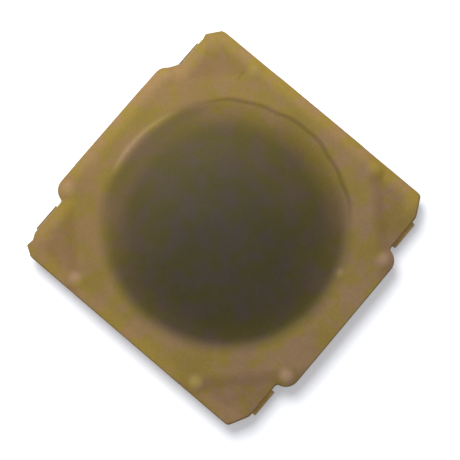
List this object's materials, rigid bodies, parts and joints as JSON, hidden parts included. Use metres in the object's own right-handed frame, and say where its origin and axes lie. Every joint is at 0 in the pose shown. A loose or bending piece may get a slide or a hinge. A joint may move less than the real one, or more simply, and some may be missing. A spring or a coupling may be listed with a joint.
{
  "type": "tactile push button switch",
  "caption": "Low-profile surface-mount tactile switch: sealing film over a snap dome in a flat moulded housing, with folded leads on two sides.",
  "frame": {"origin": "middle of the footprint, in the plane of the solder feet", "axes": "+Z out of the circuit board towards the finger, +X across the two sides that carry the leads"},
  "size_m": [0.0052, 0.005, 0.0008],
  "materials": {
    "housing": "moulded, heat-resistant, dull tan",
    "contact": "stamped, with a thin pale gold plating",
    "dome": "rolled spring sheet",
    "film": "hazy satin film"
  },
  "bodies": {
    "housing": {"housing": "housing", "center_contact": "contact", "ring_contact": "contact", "cover_film": "film"},
    "dome": {"snap_dome": "dome"}
  },
  "joints": [
    {"name": "press", "type": "slide", "parent": "housing", "child": "dome", "axis": [0, 0, -1], "range_m": [0, 0.0002], "stiffness_N_per_m": 8000, "deforming": ["snap_dome", "cover_film"]}
  ]
}
